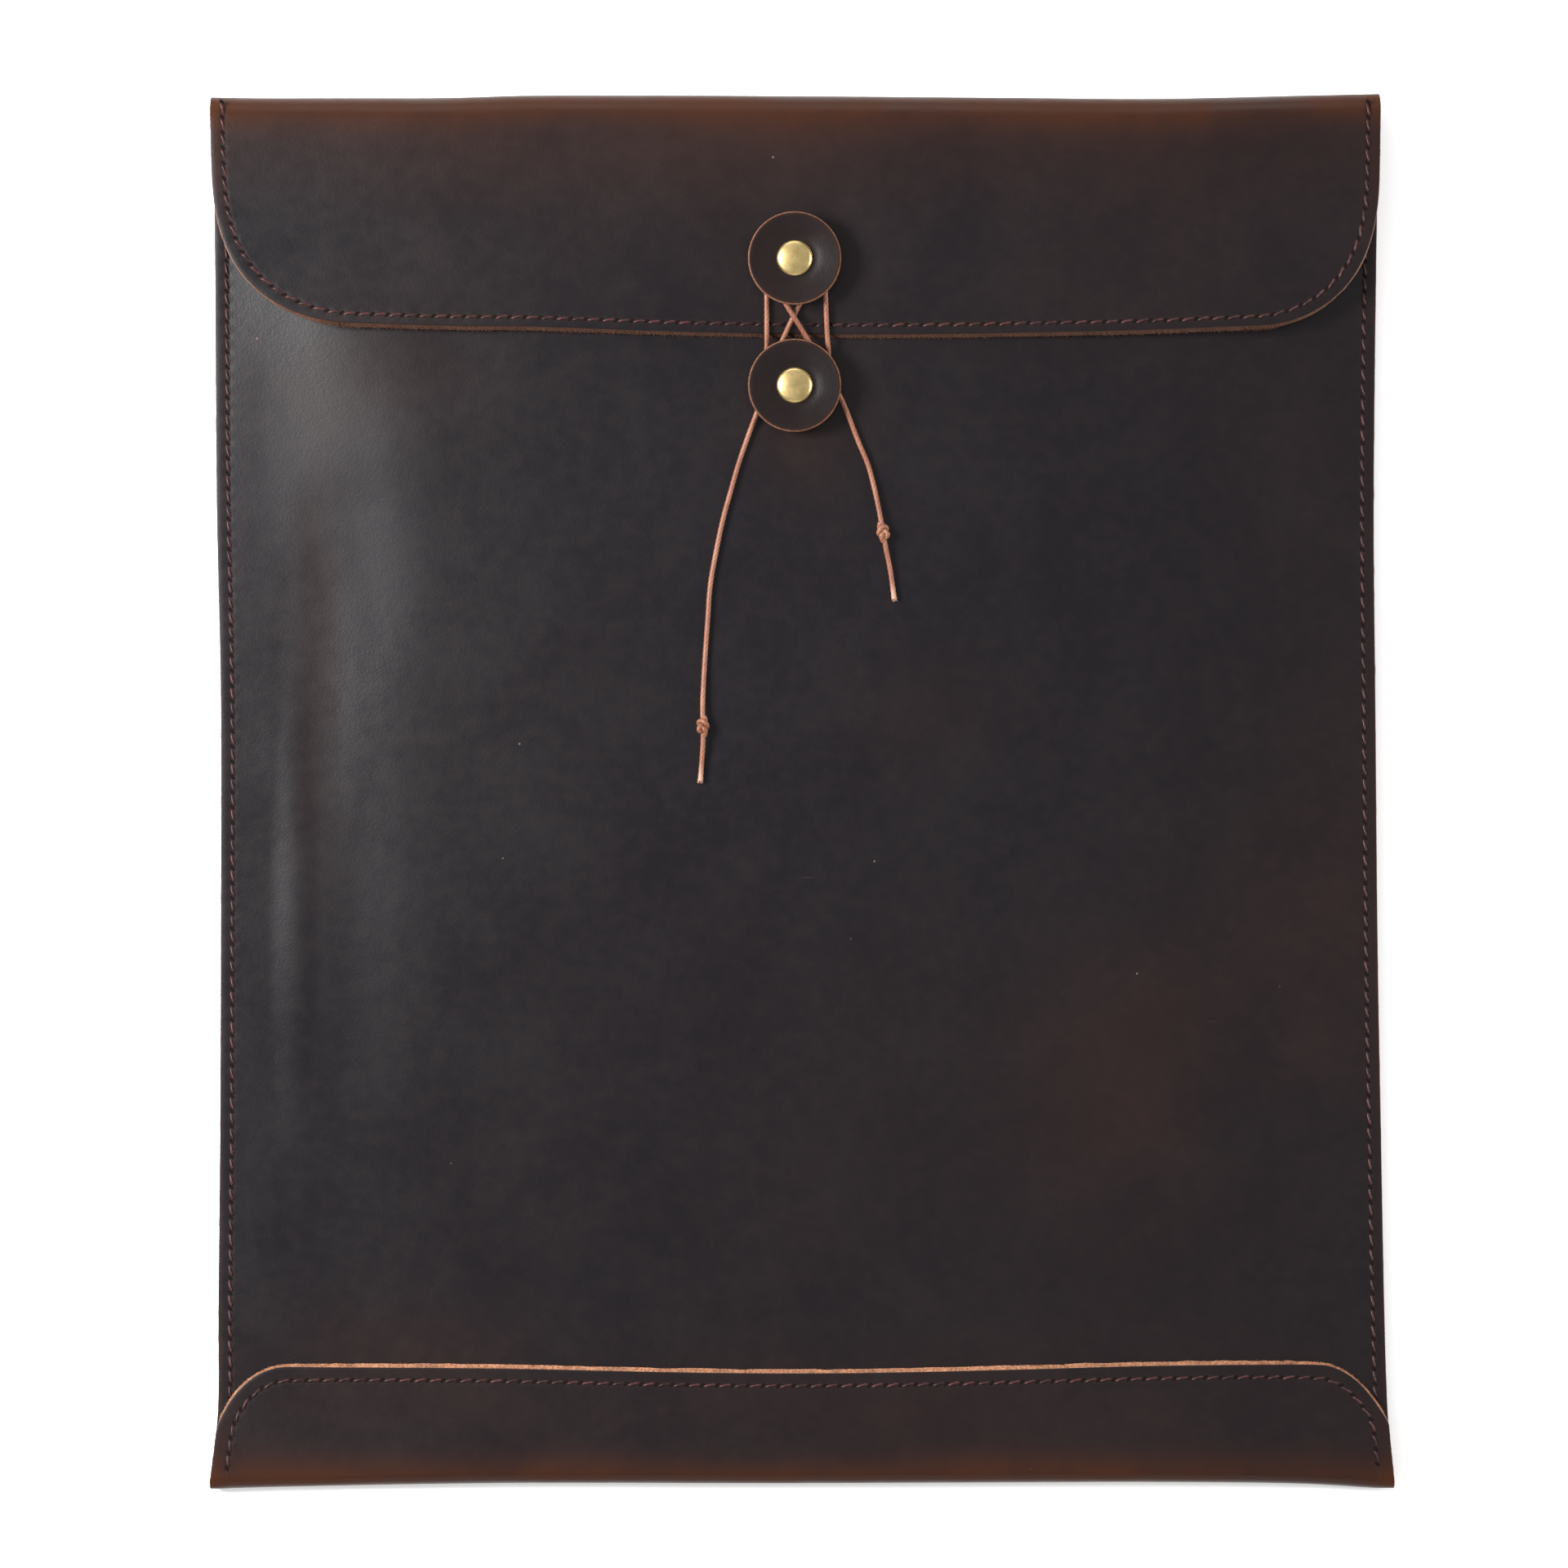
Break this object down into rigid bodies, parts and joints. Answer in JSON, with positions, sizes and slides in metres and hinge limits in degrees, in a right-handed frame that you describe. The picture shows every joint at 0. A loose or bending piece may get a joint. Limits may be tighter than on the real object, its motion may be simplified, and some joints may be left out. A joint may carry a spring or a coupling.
{
  "type": "leather document case",
  "caption": "Flat leather document case with a folded flap and foot band, shut by a waxed cord wound round a pair of round buttons.",
  "frame": {"origin": "middle of the back's flat underside, on the surface that the case lies on", "axes": "+Y towards the top fold, +Z out of the front, +X to the right of someone who looks at the front with the flap at the top"},
  "size_m": [0.3041, 0.3579, 0.0197],
  "materials": {
    "case_leather": "dark brown-black pull-up leather, satin",
    "button_leather": "dark brown leather, satin, raw tan edge",
    "rivet_brass": "satin brass",
    "waxed_cord": "waxed tan cord"
  },
  "bodies": {
    "root": {"outer_panel": "case_leather", "front_panel": "case_leather", "upper_disc": "button_leather", "lower_disc": "button_leather", "upper_spacer": "button_leather", "lower_spacer": "button_leather", "upper_rivet": "rivet_brass", "lower_rivet": "rivet_brass", "cord_winding": "waxed_cord", "cord_left": "waxed_cord", "cord_right": "waxed_cord", "knot_left": "waxed_cord", "knot_right": "waxed_cord"}
  },
  "joints": []
}
